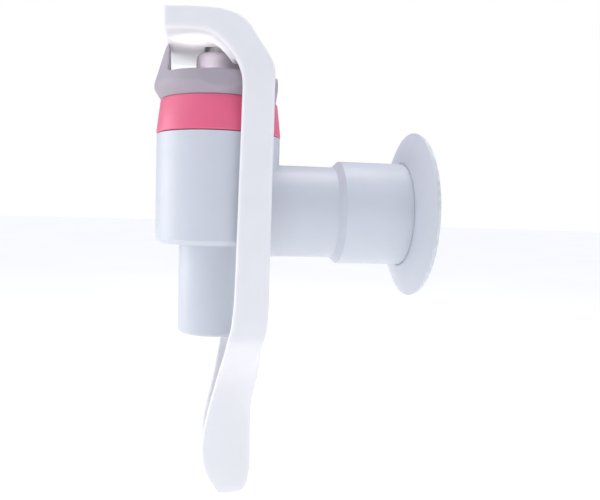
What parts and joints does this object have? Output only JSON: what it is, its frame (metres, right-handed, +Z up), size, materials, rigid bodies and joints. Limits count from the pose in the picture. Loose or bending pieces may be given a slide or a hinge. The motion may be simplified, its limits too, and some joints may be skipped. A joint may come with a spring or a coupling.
{
  "type": "water dispenser tap",
  "caption": "Push-lever tap for a water dispenser: barrel with a coloured ring, outlet nozzle, horizontal threaded inlet, domed wall plate and hooded cup lever.",
  "frame": {"origin": "centre of the inlet where it meets the wall panel", "axes": "+X into the wall along the inlet, +Z up, the lever and outlet on the -X side"},
  "size_m": [0.0703, 0.0446, 0.1247],
  "materials": {
    "white_plastic": "smooth moulded ABS, semi-gloss",
    "red_plastic": "smooth moulded, semi-gloss",
    "grey_plastic": "fine matt moulding",
    "stem_plastic": "natural acetal",
    "silicone": "translucent white silicone",
    "black_rubber": "O-ring rubber",
    "stainless": "drawn wire and turned rod"
  },
  "bodies": {
    "tap": {"valve_body": "white_plastic", "outlet_nozzle": "white_plastic", "nozzle_seal": "black_rubber", "colour_ring": "red_plastic", "bonnet": "grey_plastic", "stem_guide": "stem_plastic", "guide_gasket": "silicone", "return_spring": "stainless", "spring_washer": "stainless", "inlet_sleeve": "white_plastic", "sleeve_gasket": "silicone", "inlet_washer": "silicone", "escutcheon": "white_plastic", "panel_seal": "silicone"},
    "stem": {"valve_stem": "stem_plastic", "stem_seal": "black_rubber", "seat_plug": "silicone", "lever_pin": "stainless"},
    "lever": {"lever": "white_plastic"}
  },
  "joints": [
    {"name": "stem_lift", "type": "slide", "parent": "tap", "child": "stem", "axis": [0, 0, 1], "range_m": [0, 0.0029], "deforming": ["return_spring"]},
    {"name": "lever_push", "type": "hinge", "parent": "stem", "child": "lever", "pos_m": [-0.0536, 0, 0.04375], "axis": [0, -1, 0], "range_deg": [0, 12], "stiffness_Nm_per_rad": 0.12, "springref_deg": -63.03}
  ],
  "couplings": [
    {"joint": "stem_lift", "follows": "lever_push", "m_per_rad": 0.0137}
  ]
}
